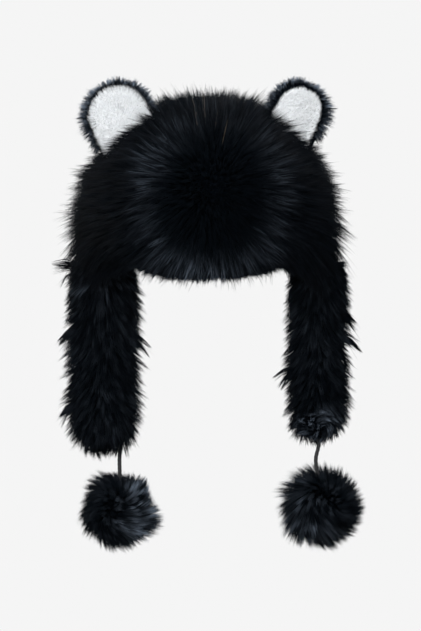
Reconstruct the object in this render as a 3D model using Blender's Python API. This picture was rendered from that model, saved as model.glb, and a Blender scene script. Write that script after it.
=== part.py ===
"""A deep-pile animal beanie with round ears, long side flaps and a pompom on a cord under each flap.

Metres, +Z up, the face side towards -Y. The origin is where the crown of a head meets the inside of the cap.
"""

import math
import random

import bmesh
import bpy
from mathutils import Matrix, Vector
from mathutils.bvhtree import BVHTree

# Cap: the clear hollow inside it and its cloth wall
HEAD_BREADTH = 0.170
HEAD_LENGTH = 0.200
CAP_DEPTH = 0.132
BAND_HEIGHT = 0.040
BAND_FLARE = 0.004
BAND_SWELL = 0.20
RIM_DIP = 0.012
CLOTH = 0.0035
DOME_POWER = 2.3
DOME_ROWS = 9
DOME_SECTORS = 5
BAND_ROWS = 3

# Fur on the cap: packed underfur, then locks that rise from it and lean with the nap
CAP_UNDERFUR = 0.021
CAP_LOCK_RISE = 0.016
CAP_LOCK_LEAN = 0.013
HEM_DROP = 0.008
WHORL_DEPTH = 0.050
WHORL_REACH = 0.110

# Side flaps
FLAP_WIDTH = 0.046
FLAP_THICKNESS = 0.042
FLAP_LENGTH = 0.182
FLAP_ROOT_SPAN = 0.086
FLAP_SIDES = 14
FLAP_LOCK_RISE = 0.011
FLAP_LOCK_LEAN = 0.011

# Ears: round pads that stand on the cap's underfur
EAR_WIDTH = 0.068
EAR_THICKNESS = 0.016
EAR_ROOT = 0.034
EAR_FORWARD = 0.024
EAR_ANGLE = 42.0
EAR_NECK = 0.75
EAR_SIDES = 16
EAR_ROWS = 9
EAR_LOCK_RISE = 0.004
EAR_LOCK_LEAN = 0.003
INNER_BORDER = 0.002
INNER_PAD = 0.004

# Cords and pompoms
CORD_DIAMETER = 0.0042
CORD_LENGTH = 0.042
POMPOM_CORE = 0.054
POMPOM_LOCK = 0.013
POMPOM_DETAIL = 3

# Gap kept where one piece is sewn to or rests on another
SEAM_GAP = 0.0003
LOCK_CLEARANCE = 0.003
SEED = 7

UP = Vector((0.0, 0.0, 1.0))
DOWN = -UP
RIM_LEVEL = -CAP_DEPTH
EQUATOR = BAND_HEIGHT - CAP_DEPTH

# One row for each section of a flap, from the seam at the cap down to the rounded end.
# drop: share of FLAP_LENGTH; size: share of the width and thickness; spread: 1 where it is FLAP_ROOT_SPAN deep
FLAP_SECTIONS = (
    {"drop": 0.00, "size": 1.00, "spread": 1.00},
    {"drop": 0.06, "size": 1.01, "spread": 0.96},
    {"drop": 0.13, "size": 1.00, "spread": 0.80},
    {"drop": 0.20, "size": 0.99, "spread": 0.58},
    {"drop": 0.27, "size": 0.98, "spread": 0.36},
    {"drop": 0.34, "size": 0.98, "spread": 0.18},
    {"drop": 0.41, "size": 0.99, "spread": 0.07},
    {"drop": 0.48, "size": 1.00, "spread": 0.00},
    {"drop": 0.55, "size": 1.01, "spread": 0.00},
    {"drop": 0.62, "size": 1.02, "spread": 0.00},
    {"drop": 0.69, "size": 1.02, "spread": 0.00},
    {"drop": 0.76, "size": 1.02, "spread": 0.00},
    {"drop": 0.83, "size": 1.01, "spread": 0.00},
    {"drop": 0.89, "size": 0.97, "spread": 0.00},
    {"drop": 0.94, "size": 0.87, "spread": 0.00},
    {"drop": 0.98, "size": 0.60, "spread": 0.00},
)

# One row for each side of the object; sign -1 is at -X.
# tilt and turn: the ear's lean outwards and its turn away from the front, in degrees; ear: share of the ear's size;
# rise: height of the ear's middle over its seat
# bulge: how much thicker the cap's fur is at this side
# place: how far outside the hollow the flap's middle lies, plump and long: shares of FLAP_WIDTH and FLAP_LENGTH
# leave: how far from that middle the cord leaves the flap, outwards, and hang: the pompom's middle from the cord,
# as shares of FLAP_WIDTH and POMPOM_CORE
SIDES = (
    {
        "name": "left", "sign": -1, "tilt": 28.0, "turn": 4.0, "ear": 1.00, "rise": 0.0205,
        "bulge": 0.010, "place": 0.43, "plump": 1.03, "long": 1.00, "leave": -0.36, "hang": 0.02,
    },
    {
        "name": "right", "sign": 1, "tilt": 25.0, "turn": 12.0, "ear": 0.86, "rise": 0.0250,
        "bulge": 0.006, "place": 0.54, "plump": 0.84, "long": 0.965, "leave": 0.02, "hang": 0.10,
    },
)

# The cords' routes, one row for each point. along: share of CORD_LENGTH; left, right: metres outwards
CORD_ROUTE = (
    {"along": 0.000, "left": 0.0000, "right": 0.0000},
    {"along": 0.071, "left": 0.0000, "right": 0.0002},
    {"along": 0.143, "left": 0.0000, "right": 0.0003},
    {"along": 0.214, "left": 0.0001, "right": -0.0001},
    {"along": 0.286, "left": 0.0002, "right": -0.0008},
    {"along": 0.357, "left": 0.0003, "right": -0.0017},
    {"along": 0.429, "left": 0.0004, "right": -0.0024},
    {"along": 0.500, "left": 0.0004, "right": -0.0028},
    {"along": 0.571, "left": 0.0004, "right": -0.0028},
    {"along": 0.643, "left": 0.0003, "right": -0.0025},
    {"along": 0.714, "left": 0.0002, "right": -0.0020},
    {"along": 0.786, "left": 0.0002, "right": -0.0015},
    {"along": 0.857, "left": 0.0001, "right": -0.0011},
    {"along": 0.929, "left": 0.0001, "right": -0.0009},
    {"along": 1.000, "left": 0.0001, "right": -0.0008},
)


def clear_scene():
    """Removes every object of the open scene."""
    for found in list(bpy.data.objects):
        bpy.data.objects.remove(found)


def finish_material(name, colour, roughness):
    """A Principled material of one colour."""
    material = bpy.data.materials.new(name)
    material.use_nodes = True
    shader = material.node_tree.nodes["Principled BSDF"]
    shader.inputs["Base Color"].default_value = (*colour, 1.0)
    shader.inputs["Roughness"].default_value = roughness
    shader.inputs["Metallic"].default_value = 0.0
    return material


def add_object(name, bm, material):
    """Links the mesh as a named object of one material."""
    bm.normal_update()
    mesh = bpy.data.meshes.new(name)
    bm.to_mesh(mesh)
    made = bpy.data.objects.new(name, mesh)
    mesh.materials.append(material)
    bpy.context.scene.collection.objects.link(made)
    return made


def smoothstep(low, high, value):
    """0 below low, 1 above high, and a smooth rise between them."""
    share = min(1.0, max(0.0, (value - low) / (high - low)))
    return share * share * (3.0 - 2.0 * share)


def join_rings(bm, upper, lower):
    """One strip of triangles between two closed rings, each given as its vertices and its first one's shift."""
    (above, shift_above), (below, shift_below) = upper, lower
    steps_above = len(above) if len(above) > 1 else 0
    steps_below = len(below) if len(below) > 1 else 0
    faces = []
    i, j = 0, 0
    while i < steps_above or j < steps_below:
        ahead = (j + 1 + shift_below) * len(above) - (i + 1 + shift_above) * len(below)
        lower_next = ahead < 0 or (ahead == 0 and steps_below > steps_above)
        here, there = above[i % len(above)], below[j % len(below)]
        if i >= steps_above or (j < steps_below and lower_next):
            j += 1
            faces.append(bm.faces.new((here, there, below[j % len(below)])))
        else:
            i += 1
            faces.append(bm.faces.new((here, there, above[i % len(above)])))
    return faces


def stack_rings(bm, rings):
    """Joins rings of points, each with its shift, from top to bottom into one skin. Gives each strip's faces."""
    made = [([bm.verts.new(point) for point in points], shift) for points, shift in rings]
    return [join_rings(bm, upper, lower) for upper, lower in zip(made, made[1:])]


def middle_of(points):
    """The mean of some points."""
    return sum(points, Vector()) / len(points)


def turned_angles(count, shift=0.0):
    """Evenly spaced angles round a ring, counter-clockwise seen from above."""
    return [2.0 * math.pi * (step + shift) / count for step in range(count)]


def grow_locks(bm, faces, tip_of):
    """Raises a pointed lock on each face whose tip_of gives a point; a face with none stays flat."""
    for face in faces:
        corners = list(face.verts)
        tip = tip_of([corner.co.copy() for corner in corners], face.normal.copy())
        if tip is None:
            continue
        top = bm.verts.new(tip)
        for here, there in zip(corners, corners[1:] + corners[:1]):
            bm.faces.new((here, there, top))
        bm.faces.remove(face)


def away_from_flaps(y):
    """0 over a flap's root and 1 at the middle of the front or back rim, for a point at this depth."""
    clear = FLAP_ROOT_SPAN / 2 + FLAP_LOCK_RISE + LOCK_CLEARANCE
    return smoothstep(clear, HEAD_LENGTH / 2, abs(y)) ** 2


def dome_point(row, angle, offset):
    """A point of the cap's shape, this far outside its hollow. Rows run from the top, 0, to the rim."""
    share = min(row / DOME_ROWS, 1.0) * math.pi / 2
    power = 2.0 / DOME_POWER
    out = math.sin(share) ** power if row else 0.0
    rise = max(math.cos(share), 0.0) ** power if row < DOME_ROWS else 0.0
    below = max(row - DOME_ROWS, 0) / BAND_ROWS
    flare = offset * (1.0 + BAND_SWELL * below) + BAND_FLARE * below
    across = math.cos(angle)
    bulge = SIDES[across > 0.0]["bulge"] * max(0.0, offset - CLOTH) / CAP_UNDERFUR
    bulge *= smoothstep(0.35, 0.80, row / DOME_ROWS) * abs(across) * across
    x = (HEAD_BREADTH / 2 + flare) * out * across + bulge
    y = (HEAD_LENGTH / 2 + flare) * out * math.sin(angle)
    z = EQUATOR + (-EQUATOR + offset) * rise
    rim = (HEAD_LENGTH / 2) * math.sin(angle)
    return Vector((x, y, z - below * (BAND_HEIGHT + RIM_DIP * away_from_flaps(rim))))


def dome_rings(offset):
    """The cap's rings from the top to the rim."""
    rings = [([dome_point(0, 0.0, offset)], 0.0)]
    for row in range(1, DOME_ROWS + BAND_ROWS + 1):
        count = DOME_SECTORS * min(row, DOME_ROWS)
        shift = 0.5 * (max(row - DOME_ROWS, 0) % 2)
        rings.append(([dome_point(row, angle, offset) for angle in turned_angles(count, shift)], shift))
    return rings


def shell(bm, inner, outer):
    """A closed cap wall between two offsets. Gives the strips of its outer skin and of its rim."""
    strips = stack_rings(bm, dome_rings(outer) + dome_rings(inner)[::-1])
    last = DOME_ROWS + BAND_ROWS
    return [face for strip in strips[:last] for face in strip], strips[last]


def nap_on_cap(point, normal):
    """Which way the fur lies on the cap: outwards from the whorl on the face side, and down behind it."""
    whorl = Vector((0.0, -HEAD_LENGTH / 2, -WHORL_DEPTH))
    away = point - whorl
    near = 1.0 - smoothstep(WHORL_REACH, 2.0 * WHORL_REACH, away.length)
    flow = away.normalized() * near + DOWN * (1.0 - near)
    flow -= normal * flow.dot(normal)
    return flow.normalized() if flow.length > 1e-6 else DOWN.copy()


def ear_frame(side):
    """The matrix of an ear: +Z along the ear, +X across it and -Y out of its white front."""
    angle = math.radians(EAR_ANGLE)
    out = CLOTH + CAP_UNDERFUR
    breadth, height = HEAD_BREADTH / 2 + out, -EQUATOR + out
    reach = (
        (math.sin(angle) / breadth) ** DOME_POWER + (math.cos(angle) / height) ** DOME_POWER
    ) ** (-1.0 / DOME_POWER)
    seat = Vector((side["sign"] * reach * math.sin(angle), -EAR_FORWARD, EQUATOR + reach * math.cos(angle)))
    tilt = Matrix.Rotation(math.radians(side["tilt"]) * side["sign"], 4, "Y")
    turn = Matrix.Rotation(math.radians(side["turn"]) * side["sign"], 4, "Z")
    return Matrix.Translation(seat) @ tilt @ turn


def in_an_ear(point, margin):
    """Whether a point lies in the space of either ear and its locks, or within the margin of it."""
    for side in SIDES:
        local = ear_frame(side).inverted() @ point
        half = EAR_WIDTH * side["ear"] / 2 + EAR_LOCK_RISE + EAR_LOCK_LEAN + margin
        deep = EAR_THICKNESS + EAR_LOCK_RISE + margin
        if abs(local.x) < half and -INNER_PAD - margin < local.y < deep and local.z > -EAR_ROOT:
            return True
    return False


def build_cap(materials):
    """The cap's cloth wall and the fur that it carries."""
    wall = bmesh.new()
    shell(wall, 0.0, CLOTH)
    add_object("cap", wall, materials["cloth"])

    rng = random.Random(SEED)
    fur = bmesh.new()
    outer, hem = shell(fur, CLOTH + SEAM_GAP, CLOTH + CAP_UNDERFUR)
    fur.normal_update()

    def tip_on_cap(corners, normal):
        centre = middle_of(corners)
        rise = CAP_LOCK_RISE * rng.uniform(0.8, 1.15)
        lean = CAP_LOCK_LEAN * rng.uniform(0.75, 1.2)
        tip = centre + normal * rise + nap_on_cap(centre, normal) * lean
        edges = [corner.lerp(tip, 0.5) for corner in corners]
        if any(in_an_ear(point, LOCK_CLEARANCE) for point in [centre, tip] + corners + edges):
            return None
        lowest = RIM_LEVEL - (RIM_DIP + HEM_DROP) * away_from_flaps(centre.y)
        tip.z = max(tip.z, lowest)
        return tip

    def tip_on_hem(corners, normal):
        centre = middle_of(corners)
        drop = HEM_DROP * away_from_flaps(centre.y) * rng.uniform(0.7, 1.1)
        return centre + normal * drop if drop > SEAM_GAP else None

    grow_locks(fur, outer, tip_on_cap)
    grow_locks(fur, hem, tip_on_hem)
    add_object("cap_fur", fur, materials["fur"])


def flap_middle(side):
    """Where the middle line of a flap meets the level of the cap's rim."""
    return Vector((side["sign"] * (HEAD_BREADTH / 2 + side["place"] * FLAP_WIDTH), 0.0, RIM_LEVEL))


def cord_exit(side):
    """Where the line of a cord meets the level of the cap's rim."""
    return flap_middle(side) + Vector((side["sign"] * side["leave"] * FLAP_WIDTH, 0.0, 0.0))


def flap_rings(side):
    """The sections of a flap, from its seam under the cap's rim to its end, with a point at each end."""
    top = flap_middle(side) + DOWN * SEAM_GAP
    length = FLAP_LENGTH * side["long"]
    rings = [([top], 0.0)]
    for row, section in enumerate(FLAP_SECTIONS):
        wide = FLAP_WIDTH / 2 * section["size"] * side["plump"]
        own = FLAP_THICKNESS / 2 * section["size"]
        deep = own + (FLAP_ROOT_SPAN / 2 - FLAP_THICKNESS / 2) * section["spread"]
        centre = top + DOWN * length * section["drop"]
        shift = 0.5 * (row % 2)
        ring = [
            centre + Vector((wide * math.cos(angle), deep * math.sin(angle), 0.0))
            for angle in turned_angles(FLAP_SIDES, shift)
        ]
        rings.append((ring, shift))
    rings.append(([top + DOWN * length], 0.0))
    return rings


def cord_rim(centre):
    """The cord's centre and points round its edge, with a little to spare."""
    radius = CORD_DIAMETER / 2 + SEAM_GAP
    around = [Vector((math.cos(a), math.sin(a), 0.0)) * radius for a in turned_angles(8)]
    return [centre] + [centre + step for step in around]


def met_levels(bm, start, way):
    """The heights at which a cord that comes from start along way meets the mesh."""
    tree = BVHTree.FromBMesh(bm)
    hits = [tree.ray_cast(point, way)[0] for point in cord_rim(start)]
    return [hit.z for hit in hits if hit is not None]


def build_flap(side, materials):
    """A flap with its fur. Gives the height at which its cord leaves it."""
    rng = random.Random(SEED + side["sign"])
    bm = bmesh.new()
    strips = stack_rings(bm, flap_rings(side))
    bm.normal_update()
    leaves = cord_exit(side)
    level = min(met_levels(bm, leaves + DOWN * 2.0 * FLAP_LENGTH, UP)) - SEAM_GAP
    keep_clear = CORD_DIAMETER + FLAP_LOCK_LEAN

    def tip_on_flap(corners, normal):
        centre = middle_of(corners)
        apart = math.hypot(centre.x - leaves.x, centre.y - leaves.y)
        if apart < keep_clear and normal.z < -0.25:
            return None
        flow = DOWN - normal * DOWN.dot(normal)
        tip = centre + normal * FLAP_LOCK_RISE * rng.uniform(0.75, 1.2)
        return tip + flow * FLAP_LOCK_LEAN * rng.uniform(0.7, 1.3)

    grow_locks(bm, [face for strip in strips[1:] for face in strip], tip_on_flap)
    add_object("flap_" + side["name"], bm, materials["fur"])
    return level


def cord_line(side, top):
    """The cord's route, from where it leaves the flap down to the pompom."""
    leaves = cord_exit(side)
    return [
        Vector((leaves.x + side["sign"] * row[side["name"]], leaves.y, top - CORD_LENGTH * row["along"]))
        for row in CORD_ROUTE
    ]


def smooth_line(points, count):
    """Evenly chosen points of a smooth curve through the given points."""
    padded = [2 * points[0] - points[1]] + points + [2 * points[-1] - points[-2]]
    found = []
    for step in range(count):
        at = step * (len(points) - 1) / (count - 1)
        k = min(int(at), len(points) - 2)
        t = at - k
        a, b, c, d = padded[k : k + 4]
        found.append(
            0.5 * (2 * b + (c - a) * t + (2 * a - 5 * b + 4 * c - d) * t**2 + (3 * b - a - 3 * c + d) * t**3)
        )
    return found


def build_cord(side, top, materials):
    """A round cord as a filled tube. Gives its lower end."""
    line = smooth_line(cord_line(side, top), max(6, round(CORD_LENGTH / (2.0 * CORD_DIAMETER))))
    curve = bpy.data.curves.new("cord_" + side["name"], "CURVE")
    curve.dimensions = "3D"
    curve.bevel_depth = CORD_DIAMETER / 2
    curve.bevel_resolution = 2
    curve.use_fill_caps = True
    spline = curve.splines.new("POLY")
    spline.points.add(len(line) - 1)
    for point, place in zip(spline.points, line):
        point.co = (*place, 1.0)
    curve.materials.append(materials["cord"])
    made = bpy.data.objects.new("cord_" + side["name"], curve)
    bpy.context.scene.collection.objects.link(made)
    return line[-1]


def build_pompom(side, hangs_from, materials):
    """A pompom: a round core with locks on every side, save where its cord goes in."""
    rng = random.Random(SEED + 10 * side["sign"])
    radius = POMPOM_CORE / 2
    centre = hangs_from + Vector((side["sign"] * side["hang"] * POMPOM_CORE, 0.0, -2.0 * radius))
    bm = bmesh.new()
    bmesh.ops.create_icosphere(bm, subdivisions=POMPOM_DETAIL, radius=radius, matrix=Matrix.Translation(centre))
    lift = UP * (hangs_from.z - SEAM_GAP - max(met_levels(bm, hangs_from, DOWN)))
    bmesh.ops.translate(bm, verts=bm.verts, vec=lift)
    centre += lift
    bm.normal_update()

    def tip_on_pompom(corners, _):
        middle = middle_of(corners)
        apart = math.hypot(middle.x - hangs_from.x, middle.y - hangs_from.y)
        if middle.z > centre.z and apart < CORD_DIAMETER + LOCK_CLEARANCE:
            return None
        return middle + (middle - centre).normalized() * POMPOM_LOCK * rng.uniform(0.75, 1.15)

    grow_locks(bm, list(bm.faces), tip_on_pompom)
    add_object("pompom_" + side["name"], bm, materials["fur"])


def ear_rings(side, front, back, border):
    """Rings of an ear or its inner pad, round above and straight below, flat in front and rounded behind."""
    radius = EAR_WIDTH * side["ear"] / 2 - border
    rise = side["rise"]
    low = -EAR_ROOT - rise
    middle = (front + back) / 2
    rings = [([Vector((0.0, middle, rise + radius))], 0.0)]
    for row in range(1, EAR_ROWS + 1):
        turn = row / EAR_ROWS * EAR_NECK * math.pi
        half = math.sin(min(turn, math.pi / 2))
        z = rise + radius * math.cos(turn) if row < EAR_ROWS else rise + low
        ring = []
        shift = 0.5 * (row % 2)
        for angle in turned_angles(EAR_SIDES, shift):
            across = math.copysign(abs(math.cos(angle)) ** 0.8, math.cos(angle))
            depth = math.sin(angle)
            y = back * half**0.5 * depth if depth > 0.0 else front * min(1.0, -3.0 * depth)
            ring.append(Vector((radius * half * across, y, z)))
        rings.append((ring, shift))
    rings.append(([Vector((0.0, middle, rise + low))], 0.0))
    return rings


def trim_to_cap(made, cutter):
    """Cuts a piece off just above the cap's fur."""
    trim = made.modifiers.new("trim", "BOOLEAN")
    trim.operation = "DIFFERENCE"
    trim.solver = "EXACT"
    trim.object = cutter


def build_ear(side, cutter, materials):
    """An ear with locks on its back and edge, and the white pad on its front."""
    rng = random.Random(SEED + 20 * side["sign"])
    frame = ear_frame(side)
    bm = bmesh.new()
    strips = stack_rings(bm, ear_rings(side, 0.0, EAR_THICKNESS, 0.0))
    bm.normal_update()

    def tip_on_ear(corners, normal):
        centre = middle_of(corners)
        if normal.y < -0.75 or centre.z < -EAR_ROOT / 3:
            return None
        out = Vector((centre.x, 0.0, centre.z - side["rise"])).normalized()
        tip = centre + normal * EAR_LOCK_RISE * rng.uniform(0.8, 1.2)
        return tip + out * EAR_LOCK_LEAN * rng.uniform(0.6, 1.2)

    grow_locks(bm, [face for strip in strips[:-1] for face in strip], tip_on_ear)
    bmesh.ops.transform(bm, matrix=frame, verts=bm.verts)
    trim_to_cap(add_object("ear_" + side["name"], bm, materials["fur"]), cutter)

    pad = bmesh.new()
    stack_rings(pad, ear_rings(side, -SEAM_GAP - INNER_PAD, -SEAM_GAP, INNER_BORDER))
    bmesh.ops.transform(pad, matrix=frame, verts=pad.verts)
    trim_to_cap(add_object("ear_inner_" + side["name"], pad, materials["plush"]), cutter)


def build_ear_cutter(materials):
    """A solid of the cap and its underfur, a seam's gap larger, that the ears are trimmed with."""
    bm = bmesh.new()
    rings = dome_rings(CLOTH + CAP_UNDERFUR + SEAM_GAP)
    stack_rings(bm, rings + [([Vector((0.0, 0.0, RIM_LEVEL))], 0.0)])
    cutter = add_object("ear_cutter", bm, materials["cloth"])
    cutter.hide_render = True
    cutter.display_type = "WIRE"
    return cutter


def main():
    """Builds every piece of the beanie."""
    clear_scene()
    materials = {
        "cloth": finish_material("black_cloth", (0.016, 0.017, 0.020), 0.90),
        "fur": finish_material("black_fur", (0.010, 0.011, 0.014), 0.60),
        "plush": finish_material("white_plush", (0.80, 0.82, 0.84), 0.85),
        "cord": finish_material("black_cord", (0.020, 0.020, 0.022), 0.70),
    }
    build_cap(materials)
    cutter = build_ear_cutter(materials)
    for side in SIDES:
        build_ear(side, cutter, materials)
        level = build_flap(side, materials)
        end = build_cord(side, level, materials)
        build_pompom(side, end, materials)


main()
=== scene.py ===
"""Looks of the animal beanie: long black faux fur, white plush in the ears, twisted cords and fur pompoms.

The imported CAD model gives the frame. Each furred piece is a smooth dark body of packed underfur with hairs
grown on it by one Geometry Nodes tree, whose hairs bend with a nap and gather into pointed locks.
"""

from __future__ import annotations

import logging
import math
from collections.abc import Callable, Sequence
from dataclasses import dataclass, fields, replace
from enum import Enum
from functools import cached_property, partial, reduce
from itertools import product
from typing import Any, ClassVar, Union

import bpy
from mathutils import Matrix, Vector

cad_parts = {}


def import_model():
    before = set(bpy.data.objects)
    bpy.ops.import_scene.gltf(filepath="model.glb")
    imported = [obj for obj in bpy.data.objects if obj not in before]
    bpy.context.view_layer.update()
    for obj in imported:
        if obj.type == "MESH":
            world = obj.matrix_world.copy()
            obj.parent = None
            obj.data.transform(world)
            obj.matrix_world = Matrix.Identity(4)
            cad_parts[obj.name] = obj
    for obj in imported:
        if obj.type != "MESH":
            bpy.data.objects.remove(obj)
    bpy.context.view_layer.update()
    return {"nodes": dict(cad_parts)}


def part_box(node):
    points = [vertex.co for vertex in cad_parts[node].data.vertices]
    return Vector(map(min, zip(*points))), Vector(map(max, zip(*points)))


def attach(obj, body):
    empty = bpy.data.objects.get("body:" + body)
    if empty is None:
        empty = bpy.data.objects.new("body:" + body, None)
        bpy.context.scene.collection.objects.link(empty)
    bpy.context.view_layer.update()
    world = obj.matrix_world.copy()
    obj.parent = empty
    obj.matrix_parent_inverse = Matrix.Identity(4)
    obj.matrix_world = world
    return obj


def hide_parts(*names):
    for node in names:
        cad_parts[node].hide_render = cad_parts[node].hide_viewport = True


LOG = logging.getLogger("beanie")
DOWN = Vector((0.0, 0.0, -1.0))
BODY = "root"

Piece = bpy.types.Object
Ring = list[Vector]
Colour = tuple[float, float, float]
Socket = bpy.types.NodeSocket
Value = Union[bpy.types.NodeSocket, float, str, tuple[float, ...]]
Inputs = dict[Union[str, int], Value]
Flow = Callable[[Vector, Vector], Vector]
Length = Callable[[Vector, Vector], float]
Choice = Callable[[Vector, Vector], bool]
# Share of the painted light at a point: painted sheen and painted shade in the hairs' colour
PaintedLight = Callable[[Vector], float]


class Slot(Enum):
    """Names of the record's material slots."""

    FUR = "black_fur"
    PLUSH = "white_plush"
    CORD = "black_cord"


class Graph:
    """A short way to write a tree of nodes."""

    def __init__(self, tree: bpy.types.NodeTree) -> None:
        """Starts on a tree, which nodes are added to."""
        self.tree = tree

    def node(self, kind: str, values: Inputs | None = None, **settings: Any) -> bpy.types.Node:
        """Adds a node.

        Args:
            kind: The node's type.
            values: Inputs by name or number, each a constant or an output to link.
            settings: The node's own properties.

        Returns:
            The node.
        """
        made = self.tree.nodes.new(kind)
        for name, value in settings.items():
            setattr(made, name, value)
        for key, value in (values or {}).items():
            self.put(made.inputs[key], value)
        return made

    def put(self, socket: Socket, value: Value) -> None:
        """Sets a socket to a constant, or links an output to it.

        Args:
            socket: The input.
            value: The constant or output.
        """
        if isinstance(value, bpy.types.NodeSocket):
            self.tree.links.new(value, socket)
        else:
            socket.default_value = value

    def math(self, operation: str, first: Value, second: Value) -> Socket:
        """A number worked out from two, by Blender's name for the operation."""
        return self.node("ShaderNodeMath", {0: first, 1: second}, operation=operation).outputs[0]

    def times(self, first: Value, *others: Value) -> Socket:
        """The product of several numbers."""
        return reduce(partial(self.math, "MULTIPLY"), others, first)

    def vector(self, operation: str, first: Value, second: Value = (0.0, 0.0, 0.0)) -> Socket:
        """A vector worked out from one or two, by Blender's name for the operation."""
        return self.node("ShaderNodeVectorMath", {0: first, 1: second}, operation=operation).outputs[0]

    def scale(self, vector: Value, factor: Value) -> Socket:
        """A vector times a number."""
        return self.node("ShaderNodeVectorMath", {0: vector, "Scale": factor}, operation="SCALE").outputs[0]

    def total(self, first: Value, *others: Value) -> Socket:
        """The sum of several vectors."""
        return reduce(partial(self.vector, "ADD"), others, first)

    def mix(self, factor: Value, first: Value, second: Value) -> Socket:
        """A vector that lies a share of the way from the first to the second."""
        # The mix node holds its vector sockets after its number's
        values = {0: factor, 4: first, 5: second}
        return self.node("ShaderNodeMix", values, data_type="VECTOR", clamp_factor=True).outputs[1]

    def chance(self, low: float, high: float, seed: Value, identity: Value | None = None) -> Socket:
        """A random number for each point.

        Args:
            low: The least.
            high: The most.
            seed: The seed.
            identity: What shares one number, if not each point has its own.

        Returns:
            The number's output.
        """
        # The random node holds its number's sockets after its vector's
        values = {2: low, 3: high, "Seed": seed}
        if identity is not None:
            values["ID"] = identity
        return self.node("FunctionNodeRandomValue", values, data_type="FLOAT").outputs[1]

    def stray(self, seed: Value) -> Socket:
        """A random vector for each point, within 1 of nothing along each axis."""
        values = {0: (-1.0, -1.0, -1.0), 1: (1.0, 1.0, 1.0), "Seed": seed}
        return self.node("FunctionNodeRandomValue", values, data_type="FLOAT_VECTOR").outputs[0]

    def place(self) -> Socket:
        """Where each point lies."""
        return self.node("GeometryNodeInputPosition").outputs[0]

    def read(self, name: str, kind: str = "FLOAT_VECTOR") -> Socket:
        """A named attribute, by its type."""
        return self.node("GeometryNodeInputNamedAttribute", {"Name": name}, data_type=kind).outputs[0]

    def store(self, geometry: Socket, name: str, value: Value, kind: str = "FLOAT_VECTOR") -> Socket:
        """Geometry that carries one more named attribute on its points."""
        values = {"Geometry": geometry, "Name": name, "Value": value}
        return self.node("GeometryNodeStoreNamedAttribute", values, data_type=kind, domain="POINT").outputs[0]

    def sample(self, geometry: Socket, value: Value, index: Value) -> Socket:
        """The value that a vector field has at one point of some geometry."""
        values = {"Geometry": geometry, "Value": value, "Index": index}
        return self.node("GeometryNodeSampleIndex", values, data_type="FLOAT_VECTOR").outputs[0]


@dataclass(frozen=True)
class Finish:
    """A Principled finish of two colours, for hair or for a plain surface.

    Attributes:
        name: Name of the material.
        root: Colour at a hair's root, or in the low places of a plain surface.
        tip: Colour at a hair's tip, or on the high places of a plain surface.
        roughness: Roughness of a plain surface, or of a hair whose shade is 1.
        specular: Specular level.
        sheen: Weight of the soft sheen.
        hairy: Whether the mesh carries the hair attributes.
        matt: Roughness of a hair whose shade is 0.
        grain: Size of a plain surface's fibres or threads, in metres.
        woven: Whether the grain is crossed threads.
    """

    name: str
    root: Colour
    tip: Colour
    roughness: float
    specular: float
    sheen: float = 0.0
    hairy: bool = True
    matt: float = 0.8
    grain: float = 0.001
    woven: bool = False

    # Distance between the wave node's bands at scale 1
    BAND: ClassVar[float] = math.pi / 10.0

    def material(self) -> bpy.types.Material:
        """Builds the material, once for each name.

        Returns:
            The material.
        """
        found = bpy.data.materials.get(self.name)
        if found is not None:
            return found
        made = bpy.data.materials.new(self.name)
        made.use_nodes = True
        graph = Graph(made.node_tree)
        shader = graph.tree.nodes["Principled BSDF"]
        graph.put(shader.inputs["Roughness"], self.roughness)
        graph.put(shader.inputs["Specular IOR Level"], self.specular)
        graph.put(shader.inputs["Sheen Weight"], self.sheen)
        graph.put(shader.inputs["Base Color"], (*self.tip, 1.0))
        if self.hairy:
            self._shade(graph, shader)
        else:
            self._roughen(graph, shader)
        return made

    def _colour(self, graph: Graph, shader: bpy.types.Node, share: Socket) -> None:
        """Colours a surface part of the way from the root's colour to the tip's.

        Args:
            graph: The material's tree.
            shader: Its Principled node.
            share: The share of the tip's colour.
        """
        ends = {"Factor": share, "A": (*self.root, 1.0), "B": (*self.tip, 1.0)}
        blend = graph.node("ShaderNodeMix", ends, data_type="RGBA")
        graph.put(shader.inputs["Base Color"], blend.outputs["Result"])

    def _shade(self, graph: Graph, shader: bpy.types.Node) -> None:
        """Gives hairs their colour and roughness, by the place along a hair and its shade, which is its
        lock's own tone times the painted light (painted sheen and shade) written on the skin.

        Args:
            graph: The material's tree.
            shader: Its Principled node.
        """
        along = graph.node("ShaderNodeAttribute", attribute_name="along").outputs["Fac"]
        shade = graph.node("ShaderNodeAttribute", attribute_name="shade").outputs["Fac"]
        self._colour(graph, shader, graph.times(along, shade))
        ends = {"Value": shade, "To Min": self.matt, "To Max": self.roughness}
        spread = graph.node("ShaderNodeMapRange", ends)
        graph.put(shader.inputs["Roughness"], spread.outputs["Result"])

    def _roughen(self, graph: Graph, shader: bpy.types.Node) -> None:
        """Gives a plain surface its grain: fibres, or crossed threads where it is woven.

        Args:
            graph: The material's tree.
            shader: Its Principled node.
        """
        place = graph.node("ShaderNodeTexCoord").outputs["Object"]
        fibres = {"Vector": place, "Scale": 1.0 / self.grain, "Detail": 3.0}
        height = graph.node("ShaderNodeTexNoise", fibres).outputs["Fac"]
        if self.woven:
            waves = {"Vector": place, "Scale": self.BAND / self.grain, "Distortion": 0.4}
            for way in ("X", "Z"):
                threads = graph.node("ShaderNodeTexWave", waves, bands_direction=way).outputs["Fac"]
                both = {0: threads, 1: 0.5, 2: height}
                height = graph.node("ShaderNodeMath", both, operation="MULTIPLY_ADD").outputs["Value"]
        self._colour(graph, shader, height)
        bump = graph.node("ShaderNodeBump", {"Strength": 0.5, "Distance": self.grain / 3.0, "Height": height})
        graph.put(shader.inputs["Normal"], bump.outputs["Normal"])


# Near-black roots are the fur's own colour; the bluish tip colour is painted sheen, reached where a hair's
# shade is full
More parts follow.
